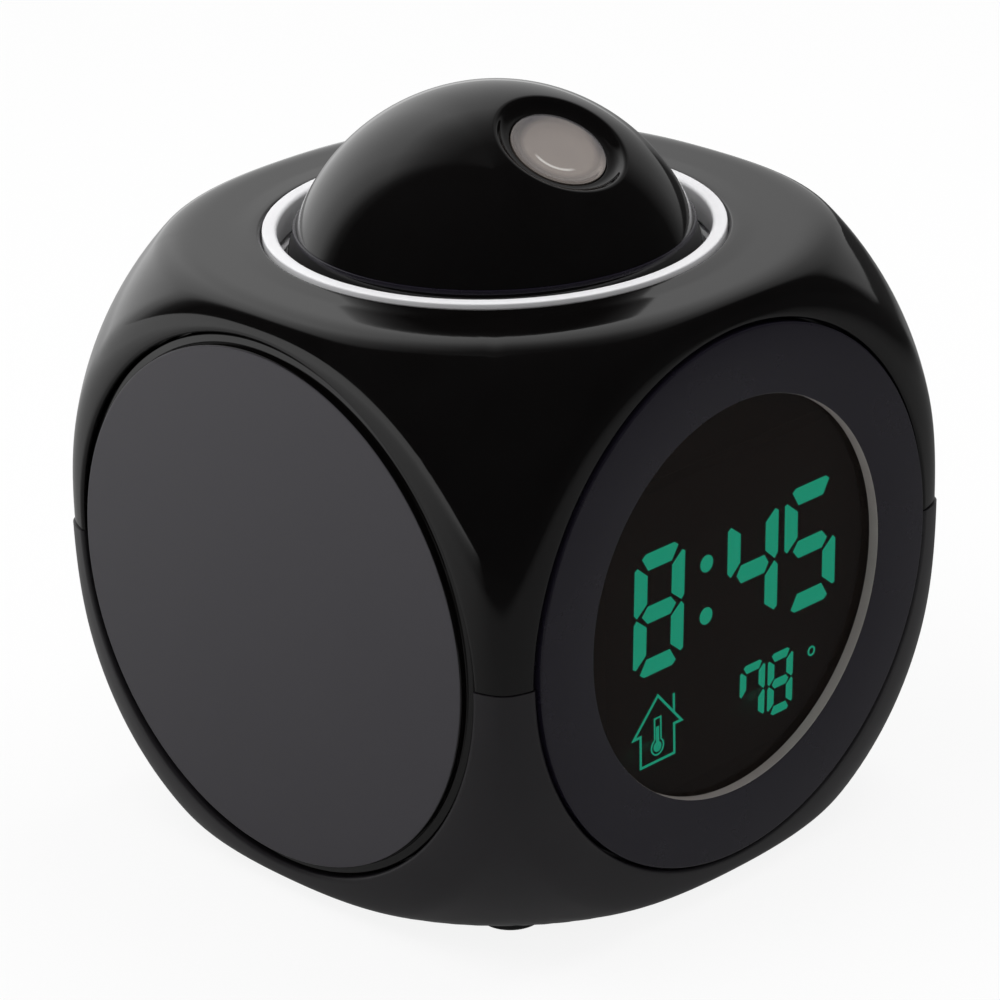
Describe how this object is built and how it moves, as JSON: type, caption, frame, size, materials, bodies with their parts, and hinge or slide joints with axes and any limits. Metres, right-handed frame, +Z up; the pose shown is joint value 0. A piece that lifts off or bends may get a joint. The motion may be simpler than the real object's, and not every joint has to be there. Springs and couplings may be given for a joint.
{
  "type": "projection alarm clock",
  "caption": "Rounded-cube projection alarm clock: round display panel in front, projector ball turning in a white press ring on top, controls and battery bay at the rear.",
  "frame": {"origin": "on the table surface, under the middle of the case", "axes": "+Z up, -Y towards the round display, +X to the right of someone who looks at the display"},
  "size_m": [0.095, 0.095, 0.1115],
  "materials": {
    "gloss_black": "high gloss black",
    "satin_black": "fine satin texture",
    "charcoal": "matt charcoal",
    "white": "satin white",
    "smoke_window": "clear smoked",
    "lcd": "dark negative display",
    "diffuser": "translucent white",
    "inner_black": "plain moulded",
    "grey_plastic": "plain moulded",
    "switch_body": "plain moulded",
    "steel": "plated",
    "board": "coated circuit board",
    "rubber": "soft matt",
    "cell_wrap": "plain sleeve, no print",
    "lens": "clear",
    "led": "clear red",
    "speaker_metal": "dull"
  },
  "bodies": {
    "case": {"upper_case": "gloss_black", "lower_case": "satin_black", "case_screws": "steel", "rubber_feet": "rubber", "side_panel_left": "charcoal", "side_panel_right": "charcoal", "front_bezel": "satin_black", "display_window": "smoke_window", "lcd_panel": "lcd", "backlight": "diffuser", "display_frame": "inner_black", "display_screws": "steel", "rear_panel": "charcoal", "button_switches": "switch_body", "alarm_switch": "steel", "power_jack": "inner_black", "main_board": "board", "board_screws": "steel", "battery_cells": "cell_wrap", "battery_contacts": "steel", "snooze_switches": "switch_body", "ball_cradle": "white", "cradle_screws": "steel", "speaker": "speaker_metal"},
    "ball": {"ball_base": "gloss_black", "swivel_clip": "steel", "dome_cap": "gloss_black", "lens_barrel": "inner_black", "projector_lens": "lens", "film_lcd": "lcd", "projector_led": "led", "led_board": "board"},
    "ring": {"snooze_ring": "white"},
    "time_key": {"time_button": "satin_black"},
    "alarm_key": {"alarm_button": "satin_black"},
    "plus_key": {"plus_button": "satin_black"},
    "minus_key": {"minus_button": "satin_black"},
    "alarm_slider": {"alarm_knob": "white"},
    "door": {"battery_door": "charcoal"}
  },
  "joints": [
    {"name": "ball_swivel", "type": "hinge", "parent": "case", "child": "ball", "pos_m": [0, 0, 0.08045], "axis": [0, 0, 1], "range_deg": [-90, 90]},
    {"name": "ring_press", "type": "slide", "parent": "case", "child": "ring", "axis": [0, 0, -1], "range_m": [0, 0.001], "stiffness_N_per_m": 700, "springref_m": -0.001},
    {"name": "time_press", "type": "slide", "parent": "case", "child": "time_key", "axis": [0, -1, 0], "range_m": [0, 0.0006], "stiffness_N_per_m": 800, "springref_m": -0.0008},
    {"name": "alarm_press", "type": "slide", "parent": "case", "child": "alarm_key", "axis": [0, -1, 0], "range_m": [0, 0.0006], "stiffness_N_per_m": 800, "springref_m": -0.0008},
    {"name": "plus_press", "type": "slide", "parent": "case", "child": "plus_key", "axis": [0, -1, 0], "range_m": [0, 0.0006], "stiffness_N_per_m": 800, "springref_m": -0.0008},
    {"name": "minus_press", "type": "slide", "parent": "case", "child": "minus_key", "axis": [0, -1, 0], "range_m": [0, 0.0006], "stiffness_N_per_m": 800, "springref_m": -0.0008},
    {"name": "alarm_slide", "type": "slide", "parent": "case", "child": "alarm_slider", "axis": [1, 0, 0], "range_m": [0, 0.003]},
    {"name": "door_hinge", "type": "hinge", "parent": "case", "child": "door", "pos_m": [0, 0.046, 0.02162], "axis": [-1, 0, 0], "range_deg": [0, 75]}
  ]
}
